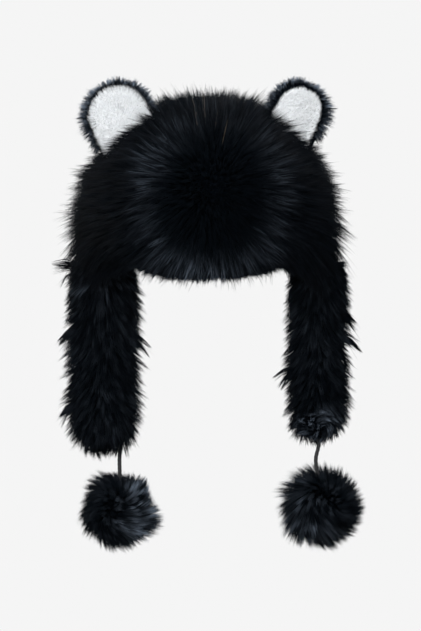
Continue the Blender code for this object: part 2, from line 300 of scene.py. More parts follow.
BLACK_FUR = Finish("fur_black", (0.0006, 0.0017, 0.0031), (0.1300, 0.1600, 0.2050), 0.34, 0.036, matt=0.75)
# A lighter copy of the black fur for the ears: painted sheen that makes their fur bluish grey
EAR_FUR_PAINTED_SHEEN = replace(BLACK_FUR, name="fur_ear", root=(0.0090, 0.0120, 0.0165))
UNDERFUR = Finish(
    "underfur_black", (0.0003, 0.0007, 0.0014), (0.0010, 0.0022, 0.0040), 0.9, 0.02, hairy=False
)
# Greyer roots and white tips: the plush's painted shade moves its colour towards the greyer root near the
# ear's edge
WHITE_PLUSH = Finish("plush_white", (0.72, 0.74, 0.76), (0.88, 0.895, 0.905), 1.0, 0.05, matt=1.0)
PLUSH_BASE = Finish("plush_base", (0.66, 0.68, 0.70), (0.78, 0.80, 0.81), 1.0, 0.05, hairy=False)
CORD_YARN = Finish(
    "cord_yarn", (0.003, 0.003, 0.004), (0.011, 0.011, 0.012), 0.6, 0.35, 0.1, hairy=False, grain=0.0006
)
CAP_CLOTH = Finish(
    "cap_cloth", (0.006, 0.007, 0.009), (0.034, 0.037, 0.043), 0.85, 0.25, 0.2, hairy=False, woven=True
)
PALE_FLOOR = Finish("floor_pale", (0.76, 0.76, 0.76), (0.78, 0.78, 0.78), 0.9, 0.1, hairy=False, grain=0.01)
BROWN_HAIR = Finish("hair_brown", (0.10, 0.08, 0.06), (0.74, 0.62, 0.50), 0.4, 0.4)


@dataclass(frozen=True)
class Coat:
    """The sizes of one coat of hair: the named inputs of the fur tree, in their order.

    Attributes:
        hairs: Hairs for each square metre of skin.
        locks: Locks, the bundles that hairs gather into, for each square metre.
        length: Length of a hair, in metres.
        lift: How far hairs stand off the skin, as a share of their length.
        lean: How far hairs lean with the nap, as a share of their length.
        width: Radius of a hair at its root, in metres.
        gather: How far the tips of a lock draw together, from 0 to 1.
        ruffle: How far the nap wanders from place to place.
        grain: Size of that wandering, in patches a metre.
        scatter: How far a hair strays from its neighbours, as a share of its length.
        tousle: How far a whole lock strays from its neighbours, as a share of its length.
        bends: Segments along each hair.
        seed: Seed of everything random but the locks' places.
        lock_seed: Seed of the locks' places.
    """

    hairs: float
    locks: float
    length: float
    lift: float
    lean: float
    width: float
    gather: float
    ruffle: float
    grain: float = 40.0
    scatter: float = 0.06
    tousle: float = 0.0
    bends: int = 2
    seed: int = 1
    lock_seed: int = 1


class FurTree:
    """The Geometry Nodes tree that grows hairs on a skin that set_nap has written on."""

    KINDS = {"float": "NodeSocketFloat", "int": "NodeSocketInt"}
    SCRATCH = ("flow", "pile", "gloss", "here", "spike", "hair_root", "hair_bend", "hair_tip")
    # Corners of a hair's section
    SIDES = 3
    # Shortest and longest hairs and locks, as shares of the coat's length
    LENGTHS = (0.62, 1.15)
    # Added to a seed for stray locks, stray hairs, hairs' lengths, loose hairs and hairs' shades
    LOCK_STRAY, HAIR_STRAY, HAIR_LENGTH, HAIR_LOOSE, HAIR_SHADE = 3.0, 7.0, 13.0, 19.0, 31.0
    # How rare loose hairs are, and how much of the gathering they lose
    LOOSE_POWER, LOOSE_LOSS = 3.0, 0.8
    # Where a hair bends: its rise, as a share of the lift, and its share of the way to the tip
    BEND_RISE, BEND_SHARE = 0.42, 0.28
    # Shade of a lock, dull for most of them, and the dullest hair in it
    LOCK_DULLEST, SHADE_POWER, SHADE_GAIN, HAIR_DULLEST = 0.05, 2.2, 1.42, 0.35
    # A direction that hairs seldom follow, which their sections are turned by
    ASLANT = (0.31, 0.52, 0.79)

    def __init__(self) -> None:
        """Builds the tree."""
        self.tree = bpy.data.node_groups.new("fur", "GeometryNodeTree")
        graph = Graph(self.tree)
        face = self.tree.interface
        face.new_socket("Geometry", in_out="INPUT", socket_type="NodeSocketGeometry")
        kinds = {field.name: self.KINDS[field.type] for field in fields(Coat)}
        kinds["finish"] = "NodeSocketMaterial"
        self.identifiers: dict[str, str] = {}
        for name, kind in kinds.items():
            label = name.replace("_", " ").title()
            self.identifiers[name] = face.new_socket(label, in_out="INPUT", socket_type=kind).identifier
        face.new_socket("Geometry", in_out="OUTPUT", socket_type="NodeSocketGeometry")
        given = graph.node("NodeGroupInput").outputs
        shaped = self._shaped(graph, given, self._rooted(graph, given))
        smooth = graph.node("GeometryNodeSetShadeSmooth", {"Geometry": shaped}).outputs[0]
        dressed = graph.node("GeometryNodeSetMaterial", {"Geometry": smooth, "Material": given["Finish"]})
        graph.node("NodeGroupOutput", {"Geometry": dressed.outputs[0]})

    def _tip(self, graph: Graph, given: bpy.types.NodeOutputs, normal: Socket, seed: Value) -> Socket:
        """Where the tip of a hair or lock lies, for points on the skin.

        Args:
            graph: The tree.
            given: The tree's inputs.
            normal: The skin's normal at the points.
            seed: The seed for their lengths.

        Returns:
            The position's output.
        """
        place = graph.place()
        noise = graph.node("ShaderNodeTexNoise", {"Vector": place, "Scale": given["Grain"], "Detail": 1.0})
        wander = graph.vector("SUBTRACT", noise.outputs["Color"], (0.5, 0.5, 0.5))
        nap = graph.total(graph.read("flow"), graph.scale(wander, given["Ruffle"]))
        pile = graph.read("pile", "FLOAT")
        reach = graph.times(given["Length"], pile, graph.chance(*self.LENGTHS, seed))
        way = graph.total(graph.scale(normal, given["Lift"]), graph.scale(nap, given["Lean"]))
        return graph.total(place, graph.scale(way, reach))

    def _rooted(self, graph: Graph, given: bpy.types.NodeOutputs) -> Socket:
        """Points on the skin, each with its shade and the three points that its hair bends along.

        Args:
            graph: The tree.
            given: The tree's inputs.

        Returns:
            The points' output.
        """
        skin, seed, lock_seed = given["Geometry"], given["Seed"], given["Lock Seed"]
        spread = {"Mesh": skin, "Density": given["Locks"], "Seed": lock_seed}
        locks = graph.node("GeometryNodeDistributePointsOnFaces", spread)
        here = graph.read("here", "BOOLEAN")
        spread = {"Mesh": skin, "Selection": here, "Density": given["Hairs"], "Seed": seed}
        roots = graph.node("GeometryNodeDistributePointsOnFaces", spread)

        def seeded(extra: float) -> Socket:
            """The hairs' seed with a number added."""
            return graph.math("ADD", seed, extra)

        place = graph.place()
        length = graph.times(given["Length"], graph.read("pile", "FLOAT"))
        apart = graph.scale(graph.stray(graph.math("ADD", lock_seed, self.LOCK_STRAY)), length)
        lock_tip = self._tip(graph, given, locks.outputs["Normal"], lock_seed)
        lock_tip = graph.total(lock_tip, graph.scale(apart, given["Tousle"]))
        bundles = locks.outputs["Points"]
        nearest = graph.node("GeometryNodeSampleNearest", {"Geometry": bundles}, domain="POINT").outputs[0]
        shared_tip = graph.sample(bundles, lock_tip, nearest)
        own_tip = self._tip(graph, given, roots.outputs["Normal"], seeded(self.HAIR_LENGTH))
        stray = graph.times(given["Length"], given["Scatter"])
        own_tip = graph.total(own_tip, graph.scale(graph.stray(seeded(self.HAIR_STRAY)), stray))
        loose = graph.math("POWER", graph.chance(0.0, 1.0, seeded(self.HAIR_LOOSE)), self.LOOSE_POWER)
        kept = graph.math("SUBTRACT", 1.0, graph.times(loose, self.LOOSE_LOSS))
        tip = graph.mix(graph.times(given["Gather"], kept), own_tip, shared_tip)
        stand = graph.times(length, graph.times(given["Lift"], self.BEND_RISE))
        rise = graph.scale(roots.outputs["Normal"], stand)
        bend = graph.total(place, rise, graph.scale(graph.vector("SUBTRACT", tip, place), self.BEND_SHARE))
        points = graph.store(roots.outputs["Points"], "hair_root", place)
        points = graph.store(points, "hair_bend", bend)
        points = graph.store(points, "hair_tip", tip)
        lock_shade = graph.chance(self.LOCK_DULLEST, 1.0, lock_seed, nearest)
        shade = graph.math("POWER", lock_shade, self.SHADE_POWER)
        own_shade = graph.chance(self.HAIR_DULLEST, 1.0, seeded(self.HAIR_SHADE))
        # The painted light (painted sheen and shade) written on the skin scales each hair's shade, and with
        # it the colour and roughness
        shade = graph.times(shade, self.SHADE_GAIN, own_shade, graph.read("gloss", "FLOAT"))
        return graph.store(points, "shade", shade, "FLOAT")

    def _shaped(self, graph: Graph, given: bpy.types.NodeOutputs, points: Socket) -> Socket:
        """Closed, tapering hairs that follow their three points.

        Args:
            graph: The tree.
            given: The tree's inputs.
            points: The rooted points.

        Returns:
            The mesh's output.
        """
        size = {"Radius Top": 0.0, "Radius Bottom": 1.0, "Depth": 1.0}
        cone = {"Vertices": self.SIDES, "Side Segments": given["Bends"], **size}
        spike = graph.node("GeometryNodeMeshCone", cone, fill_type="NGON").outputs[0]
        spike = graph.store(spike, "spike", graph.place())
        placed = graph.node("GeometryNodeInstanceOnPoints", {"Points": points, "Instance": spike}).outputs[0]
        mesh = graph.node("GeometryNodeRealizeInstances", {"Geometry": placed}).outputs[0]
        parts = graph.node("ShaderNodeSeparateXYZ", {0: graph.read("spike")}).outputs
        along = parts["Z"]
        back = graph.math("SUBTRACT", 1.0, along)
        root, bend, tip = graph.read("hair_root"), graph.read("hair_bend"), graph.read("hair_tip")
        line = graph.total(
            graph.scale(root, graph.times(back, back)),
            graph.scale(bend, graph.times(along, back, 2.0)),
            graph.scale(tip, graph.times(along, along)),
        )
        way = graph.vector("NORMALIZE", graph.vector("SUBTRACT", tip, root))
        across = graph.vector("NORMALIZE", graph.vector("CROSS_PRODUCT", way, self.ASLANT))
        over = graph.vector("CROSS_PRODUCT", way, across)
        edge = graph.total(graph.scale(across, parts["X"]), graph.scale(over, parts["Y"]))
        place = graph.total(line, graph.scale(edge, given["Width"]))
        moved = graph.node("GeometryNodeSetPosition", {"Geometry": mesh, "Position": place}).outputs[0]
        return graph.store(moved, "along", along, "FLOAT")

    def grow(self, name: str, skin: Piece, coat: Coat, finish: Finish) -> Piece:
        """Grows a coat on a skin, which is used up.

        Args:
            name: Name of the new piece.
            skin: The mesh that the hairs stand on.
            coat: The coat's sizes.
            finish: The hairs' finish.

        Returns:
            The hairs as a plain mesh.
        """
        modifier = skin.modifiers.new("fur", "NODES")
        modifier.node_group = self.tree
        for field in fields(Coat):
            modifier[self.identifiers[field.name]] = getattr(coat, field.name)
        modifier[self.identifiers["finish"]] = finish.material()
        evaluated = skin.evaluated_get(bpy.context.evaluated_depsgraph_get())
        mesh = bpy.data.meshes.new_from_object(evaluated)
        mesh.name = name
        for attribute in self.SCRATCH:
            if attribute in mesh.attributes:
                mesh.attributes.remove(mesh.attributes[attribute])
        bpy.data.objects.remove(skin)
        return link(name, mesh)


def smoothstep(low: float, high: float, value: float) -> float:
    """A smooth rise from 0 at low to 1 at high, or a fall where low is above high."""
    share = min(1.0, max(0.0, (value - low) / (high - low)))
    return share * share * (3.0 - 2.0 * share)


def hump(value: float, middle: float, width: float) -> float:
    """1 at the middle and a smooth fall to 0 on both sides of it."""
    return math.exp(-(((value - middle) / width) ** 2))


def turns(count: int) -> list[float]:
    """Angles evenly spread over a full turn, from 0."""
    return [2.0 * math.pi * k / count for k in range(count)]


def circle(count: int) -> list[tuple[float, float]]:
    """Points evenly spread round a circle of radius 1."""
    return [(math.cos(turn), math.sin(turn)) for turn in turns(count)]


def mirrored(place: Vector, sign: float) -> Vector:
    """A place of the +X side, or its mirror image where sign is -1."""
    return Vector((sign * place.x, place.y, place.z))


def along_skin(way: Vector, normal: Vector) -> Vector:
    """The part of a direction that lies along the skin, as a unit vector."""
    flat = way - normal * way.dot(normal)
    return flat.normalized() if flat.length > 1e-9 else Vector()


def link(name: str, data: bpy.types.ID) -> bpy.types.Object:
    """An object of some data, in the scene.

    Args:
        name: Name of the object.
        data: Its mesh, light or camera.

    Returns:
        The object.
    """
    made = bpy.data.objects.new(name, data)
    bpy.context.scene.collection.objects.link(made)
    return made


def add_mesh(name: str, points: Sequence[Vector], faces: Sequence[Sequence[int]], finish: Finish) -> Piece:
    """Links a smooth mesh of one finish.

    Args:
        name: Name of the object.
        points: Its vertices.
        faces: Its faces as vertex numbers.
        finish: Its finish.

    Returns:
        The object.
    """
    mesh = bpy.data.meshes.new(name)
    mesh.from_pydata([tuple(point) for point in points], [], [list(face) for face in faces])
    mesh.validate()
    mesh.polygons.foreach_set("use_smooth", [True] * len(mesh.polygons))
    mesh.materials.append(finish.material())
    mesh.update()
    return link(name, mesh)


def grid_faces(rows: int, columns: int) -> list[tuple[int, ...]]:
    """Quads between rings of points that run from top to bottom.

    Args:
        rows: How many rings.
        columns: How many points a ring, counter-clockwise seen from above.

    Returns:
        The faces.
    """
    faces = []
    for row, column in product(range(rows - 1), range(columns)):
        here = row * columns + column
        there = row * columns + (column + 1) % columns
        faces.append((here, here + columns, there + columns, there))
    return faces


def ring_body(name: str, rings: Sequence[Ring], finish: Finish) -> Piece:
    """A closed body of rings with as many points each, from top to bottom, with a face at each end.

    Args:
        name: Name of the object.
        rings: The rings.
        finish: Its finish.

    Returns:
        The object.
    """
    columns = len(rings[0])
    points = [point for ring in rings for point in ring]
    top = tuple(range(columns))
    bottom = tuple(range(len(points) - 1, len(points) - 1 - columns, -1))
    return add_mesh(name, points, [*grid_faces(len(rings), columns), top, bottom], finish)


def copy_of(thing: Piece) -> Piece:
    """A separate copy of an object and its mesh, as a skin for hair.

    Args:
        thing: The object.

    Returns:
        The copy.
    """
    made = thing.copy()
    made.data = thing.data.copy()
    made.name = "skin"
    bpy.context.scene.collection.objects.link(made)
    return made


def full_length(_: Vector, __: Vector) -> float:
    """A pile as long as the coat says."""
    return 1.0


def everywhere(_: Vector, __: Vector) -> bool:
    """Hair on each face."""
    return True


def full_painted_light(_: Vector) -> float:
    """All of the painted light: the tip's full painted sheen and the glossiest roughness."""
    return 1.0


def set_nap(skin: Piece, flow: Flow, pile: Length, here: Choice, gloss: PaintedLight) -> Piece:
    """Writes the nap's direction, length and painted light (painted sheen and shade) on a skin, and on which
    of its faces hair grows.

    Args:
        skin: The skin.
        flow: Direction of the nap from a point and its normal.
        pile: Share of the coat's length from a point and its normal.
        here: Whether hair grows on a face, from its centre and normal.
        gloss: Share of the painted light from a point, which moves the hairs' colour towards the painted
            sheen of the tip and makes them glossier.

    Returns:
        The skin.
    """
    mesh = skin.data
    spots = [(vertex.co.copy(), vertex.normal.copy()) for vertex in mesh.vertices]
    naps = [part for point, normal in spots for part in flow(point, normal)]
    piles = [pile(point, normal) for point, normal in spots]
    painted_light_values = [gloss(point) for point, _ in spots]
    shown = [here(face.center.copy(), face.normal.copy()) for face in mesh.polygons]
    mesh.attributes.new("flow", "FLOAT_VECTOR", "POINT").data.foreach_set("vector", naps)
    mesh.attributes.new("pile", "FLOAT", "POINT").data.foreach_set("value", piles)
    mesh.attributes.new("gloss", "FLOAT", "POINT").data.foreach_set("value", painted_light_values)
    mesh.attributes.new("here", "BOOLEAN", "FACE").data.foreach_set("value", shown)
    return skin


def settle(piece: Piece, slot: Slot, *nodes: str) -> Piece:
    """Puts a finished piece on the part's one body.

    Args:
        piece: The piece.
        slot: Not used.
        nodes: The CAD nodes that it stands for.

    Returns:
        The piece.
    """
    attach(piece, BODY)
    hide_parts(*nodes)
    triangles = sum(len(face.vertices) - 2 for face in piece.data.polygons)
    LOG.info("%s: %d triangles, for %s", piece.name, triangles, ", ".join(nodes))
    return piece


@dataclass(frozen=True)
class Side:
    """What differs between the two sides, as in the photograph.

    Attributes:
        name: left or right, as seen from the front.
        sign: -1 at -X and 1 at +X.
        tilt: The ear's lean outwards, in degrees.
        turn: The ear's turn away from the front, in degrees.
        ear: Share of the ear's size.
        rise: Height of the ear's middle over its seat.
        bulge: How much thicker the cap's fur is at this side.
        wider: How much longer the cap's fur is low on this side, as a share.
        border: Width of black left round the ear's white.
        cover: How much longer the cap's fur is over the flap's top, as a share.
        hem: How much higher the hem's end is at this side.
        brow: Length of the cap's fur in front of the ear, as a share.
        shag: How much longer the flap's fur is, as a share.
        shine: Share of the painted sheen that the pompom has.
        outer_tufts: Heights of the large tufts on the flap's outer side.
        inner_tufts: Heights of those on its inner side.
        cord: How far the cord strays outwards, at even steps from the flap to the pompom.
    """

    name: str
    sign: int
    tilt: float
    turn: float
    ear: float
    rise: float
    bulge: float
    wider: float
    border: float
    cover: float
    hem: float
    brow: float
    shag: float
    shine: float
    outer_tufts: tuple[float, ...]
    inner_tufts: tuple[float, ...]
    cord: tuple[float, ...]


LEFT = Side(
    "left", -1, tilt=28.0, turn=4.0, ear=1.00, rise=0.0205, bulge=0.010, wider=0.26, border=0.0045,
    cover=-0.10, hem=0.0, brow=0.66, shag=0.08, shine=1.0,
    outer_tufts=(-0.137, -0.200, -0.272), inner_tufts=(-0.205,),
    cord=(
        0.0, 0.0, 0.0, 0.0001, 0.0002, 0.0003, 0.0004, 0.0004,
        0.0004, 0.0003, 0.0002, 0.0002, 0.0001, 0.0001, 0.0001,
    ),
)
RIGHT = Side(
    "right", 1, tilt=25.0, turn=12.0, ear=0.86, rise=0.0250, bulge=0.006, wider=0.28, border=0.0065,
    cover=-0.04, hem=0.007, brow=0.85, shag=0.0, shine=0.42,
    outer_tufts=(-0.183, -0.206), inner_tufts=(-0.238,),
    cord=(
        0.0, 0.0002, 0.0003, -0.0001, -0.0008, -0.0017, -0.0024, -0.0028,
        -0.0028, -0.0025, -0.0020, -0.0015, -0.0011, -0.0009, -0.0008,
    ),
)


def side_at(point: Vector) -> Side:
    """The side that a point lies on."""
    return RIGHT if point.x > 0.0 else LEFT


@dataclass(frozen=True)
class Cap:
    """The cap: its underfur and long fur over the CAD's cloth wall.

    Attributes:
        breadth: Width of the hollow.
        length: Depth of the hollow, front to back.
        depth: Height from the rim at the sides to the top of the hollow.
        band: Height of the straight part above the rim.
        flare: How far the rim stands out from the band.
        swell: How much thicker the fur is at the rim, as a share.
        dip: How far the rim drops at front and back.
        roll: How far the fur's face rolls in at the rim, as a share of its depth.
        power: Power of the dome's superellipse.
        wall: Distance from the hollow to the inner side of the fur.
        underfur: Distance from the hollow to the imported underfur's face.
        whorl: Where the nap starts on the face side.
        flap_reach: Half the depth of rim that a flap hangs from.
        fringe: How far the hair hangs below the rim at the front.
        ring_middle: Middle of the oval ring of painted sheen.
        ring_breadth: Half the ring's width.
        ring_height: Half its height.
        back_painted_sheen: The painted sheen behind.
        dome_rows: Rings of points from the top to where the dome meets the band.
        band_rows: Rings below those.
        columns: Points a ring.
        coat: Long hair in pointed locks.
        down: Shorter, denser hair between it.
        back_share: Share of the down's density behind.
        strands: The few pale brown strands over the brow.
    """

    breadth: float = 0.170
    length: float = 0.200
    depth: float = 0.132
    band: float = 0.040
    flare: float = 0.004
    swell: float = 0.20
    dip: float = 0.012
    roll: float = 0.38
    power: float = 2.3
    wall: float = 0.0039
    underfur: float = 0.0175
    whorl: Vector = Vector((0.004, -0.112, -0.048))
    flap_reach: float = 0.057
    fringe: float = 0.005
    ring_middle: Vector = Vector((0.004, 0.0, -0.068))
    ring_breadth: float = 0.050
    ring_height: float = 0.060
    back_painted_sheen: float = 0.32
    dome_rows: int = 17
    band_rows: int = 5
    columns: int = 96
    coat: Coat = Coat(
        hairs=120000.0, locks=34000.0, length=0.037, lift=0.60, lean=0.74, width=0.00042,
        gather=0.84, ruffle=1.0, grain=36.0, tousle=0.32, bends=2, seed=5, lock_seed=3,
    )
    down: Coat = Coat(
        hairs=780000.0, locks=100000.0, length=0.034, lift=0.60, lean=0.70, width=0.00031,
        gather=0.80, ruffle=1.0, grain=36.0, tousle=0.20, bends=1, seed=9, lock_seed=4,
    )
    back_share: float = 0.72
    strands: Coat = Coat(
        hairs=6000.0, locks=30000.0, length=0.038, lift=0.72, lean=0.74, width=0.00034,
        gather=0.3, ruffle=0.8, grain=60.0, bends=4, seed=15, lock_seed=3,
    )

    # The highest row of points, as for point
    TOP_ROW: ClassVar[float] = 0.03
    # In front of the right ear: middle of the seam, middle of the short fur, and the nap along the seam
    SEAM: ClassVar[Vector] = Vector((0.080, -0.045, -0.006))
    SHORT_FUR: ClassVar[Vector] = Vector((0.080, -0.035, 0.0))
    SEAM_NAP: ClassVar[Vector] = Vector((0.81, 0.0, -0.59))
    # Least length of hair at the hem, and its length on the hem's arc itself, as shares of the coat's
    HEM_LEAST: ClassVar[float] = 0.28
    HEM_SHARE: ClassVar[float] = 0.22
    # Patches of the ring of painted sheen: direction from its middle in degrees, and strength
    RING_PATCHES: ClassVar[tuple[tuple[float, float], ...]] = (
        (14.0, 0.36), (145.0, 0.66), (180.0, 0.15), (235.0, 0.52), (272.0, 0.78), (318.0, 0.46),
    )
    # A patch's spread in degrees, the ring's width as a share of its radius, and its strength between patches
    PATCH_SPREAD: ClassVar[float] = 24.0
    RING_WIDTH: ClassVar[float] = 0.17
    RING_LEAST: ClassVar[float] = 0.16

    def away_from_flaps(self, depth: float) -> float:
        """0 over a flap's root and 1 at the middle of the front or back rim."""
        return smoothstep(self.flap_reach, self.length / 2, abs(depth)) ** 2

    def point(self, row: float, angle: float, offset: float) -> Vector:
        """A point of the cap's form.

        Args:
            row: 0 at the top, 1 where the dome meets the band and 2 at the rim.
            angle: Angle round the cap, 0 at +X and counter-clockwise from above.
            offset: Distance outside the hollow.

        Returns:
            The point.
        """
        share = min(row, 1.0) * math.pi / 2
        out = math.sin(share) ** (2.0 / self.power)
        rise = max(math.cos(share), 0.0) ** (2.0 / self.power) if row < 1.0 else 0.0
        below = max(row - 1.0, 0.0)
        rolled = self.roll * smoothstep(0.45, 1.0, below) * (offset - self.wall)
        spread = (offset - rolled) * (1.0 + self.swell * below) + self.flare * below
        equator = self.band - self.depth
        across = math.cos(angle)
        side = RIGHT if across > 0.0 else LEFT
        bulge = side.bulge * (offset - self.wall) / (self.underfur - self.wall)
        bulge *= smoothstep(0.35, 0.80, row) * abs(across) * across
        x = (self.breadth / 2 + spread) * out * across + bulge
        y = (self.length / 2 + spread) * out * math.sin(angle)
        dip = self.dip * self.away_from_flaps(self.length / 2 * math.sin(angle))
        return Vector((x, y, equator + (offset - equator) * rise - below * (self.band + dip)))

    def ring(self, row: float, offset: float) -> Ring:
        """The points of one row, given as for point."""
        return [self.point(row, angle, offset) for angle in turns(self.columns)]

    def row_values(self) -> list[float]:
        """The rows from just below the top to the rim, for point."""
        step = (1.0 - self.TOP_ROW) / (self.dome_rows - 1)
        dome = [self.TOP_ROW + step * k for k in range(self.dome_rows)]
        return dome + [1.0 + (k + 1) / self.band_rows for k in range(self.band_rows)]

    def underfur_body(self) -> Piece:
        """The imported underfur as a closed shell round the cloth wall.

        Returns:
            The body.
        """
        rows = self.row_values()
        outer = [self.ring(row, self.underfur) for row in rows]
        inner = [self.ring(row, self.wall) for row in reversed(rows)]
        return ring_body("cap_underfur", outer + inner, UNDERFUR)

    def skin(self, here: Choice) -> Piece:
        """The skin that hair grows on: the underfur's face and its hem.

        Args:
            here: Whether hair grows on a face, from its centre and normal.

        Returns:
            The skin with its nap.
        """
        rings = [self.ring(row, self.underfur) for row in self.row_values()]
        rings.append(self.ring(2.0, self.wall))
        points = [point for ring in rings for point in ring]
        faces = [tuple(range(self.columns)), *grid_faces(len(rings), self.columns)]
        return set_nap(add_mesh("skin", points, faces, UNDERFUR), self.flow, self.pile, here, self.gloss)

    @staticmethod
    def in_quarter(front: bool, left: bool, centre: Vector, _: Vector) -> bool:
        """Whether a face lies in one quarter of the cap."""
        return (centre.y < 0.0) == front and (centre.x < 0.0) == left

    @staticmethod
    def at_parting(centre: Vector, _: Vector) -> bool:
        """Whether a face lies at the parting over the brow."""
        return abs(centre.x - 0.006) < 0.016 and -0.032 < centre.z < 0.006 and centre.y < -0.02

    def flow(self, point: Vector, normal: Vector) -> Vector:
        """The nap: out from the whorl on the face side, along the ears' seams, and down behind.

        Args:
            point: A point of the skin.
            normal: The skin's normal there.

        Returns:
            The nap's direction and strength.
        """
        if normal.z < -0.6:
            return Vector((normal.x, normal.y, 0.0)) * 0.3
        away = point - self.whorl
        hung = self.over_flap(point)
        far = max(0.75 * smoothstep(0.12, 0.23, away.length), 0.8 * hung)
        mixed = away.normalized() * (1.0 - far) + DOWN * far
        sign = math.copysign(1.0, point.x)
        beside = 0.7 * smoothstep(0.050, 0.026, (point - mirrored(self.SEAM, sign)).length)
        mixed = mixed * (1.0 - beside) + mirrored(self.SEAM_NAP, sign) * beside
        strength = smoothstep(0.0, 0.045, away.length) * (1.0 + 0.9 * hung)
        return along_skin(mixed, normal) * strength

    def over_flap(self, point: Vector) -> float:
        """1 where the hair hangs down over a flap's top, and 0 away from there."""
        return smoothstep(0.066, 0.088, abs(point.x)) * smoothstep(-0.080, -0.120, point.z)

    def room(self, point: Vector) -> float:
        """Share of the coat's length that a hair may have before it hangs below the hem's arc.

        Args:
            point: A point of the skin.

        Returns:
            The share.
        """
        rim = point.y * self.length / (self.length + 2.0 * self.underfur)
        hem = -self.depth - (self.dip + self.fringe) * self.away_from_flaps(rim)
        if point.y < 0.0:
            hem += side_at(point).hem * smoothstep(0.010, 0.050, abs(point.x))
        return max(self.HEM_LEAST, self.HEM_SHARE + (point.z - hem) / (self.coat.length * self.coat.lean))

    def pile(self, point: Vector, _: Vector) -> float:
        """The fur's length: longer low at the sides, shorter at the hem, the whorl and in front of the ears.

        Args:
            point: A point of the skin.

        Returns:
            Share of the coat's length.
        """
        here = side_at(point)
        hung = self.over_flap(point)
        low = smoothstep(0.070, 0.105, abs(point.x)) * smoothstep(-0.035, -0.085, point.z)
        length = (1.0 + here.wider * low * (1.0 - hung)) * (1.0 + here.cover * hung)
        near_ear = min((point - mirrored(self.SHORT_FUR, sign)).length for sign in (-1, 1))
        brow = here.brow + (1.0 - here.brow) * smoothstep(0.026, 0.055, near_ear)
        length *= brow * (0.6 + 0.4 * smoothstep(0.0, 0.05, (point - self.whorl).length))
        room = min(length, self.room(point))
        return room + (length - room) * smoothstep(0.15, 0.85, hung)

    def gloss(self, point: Vector) -> float:
        """The fur's painted sheen, which also makes it glossier: dull round the whorl, bright in a broken
        ring round that, and faint beyond.

        Args:
            point: A point of the skin.

        Returns:
            Share of the full painted sheen.
        """
        across, up = point.x - self.ring_middle.x, point.z - self.ring_middle.z
        far = math.hypot(across / self.ring_breadth, up / self.ring_height)
        turn = math.degrees(math.atan2(up, across))
        strength = self.RING_LEAST
        for middle, share in self.RING_PATCHES:
            apart = (turn - middle + 180.0) % 360.0 - 180.0
            strength += share * hump(apart, 0.0, self.PATCH_SPREAD)
        front = 0.008 + 0.060 * smoothstep(0.6, 1.2, far) + strength * hump(far, 1.0, self.RING_WIDTH)
        behind = smoothstep(-0.01, 0.07, point.y)
        return (1.0 - behind) * front + behind * self.back_painted_sheen

    def build(self, fur: FurTree) -> None:
        """Makes the cap's pieces.

        Args:
            fur: The tree that grows the hairs.
        """
        settle(self.underfur_body(), Slot.FUR, "cap_fur")
        for front, left in product((True, False), repeat=2):
            quarter = f"{'front' if front else 'back'}_{'left' if left else 'right'}"
            down = self.down if front else replace(self.down, hairs=self.down.hairs * self.back_share)
            for layer, coat in (("fur", self.coat), ("down", down)):
                skin = self.skin(partial(self.in_quarter, front, left))
                settle(fur.grow(f"cap_{layer}_{quarter}", skin, coat, BLACK_FUR), Slot.FUR, "cap_fur")
        parting = self.skin(self.at_parting)
        settle(fur.grow("cap_strands", parting, self.strands, BROWN_HAIR), Slot.FUR, "cap_fur")


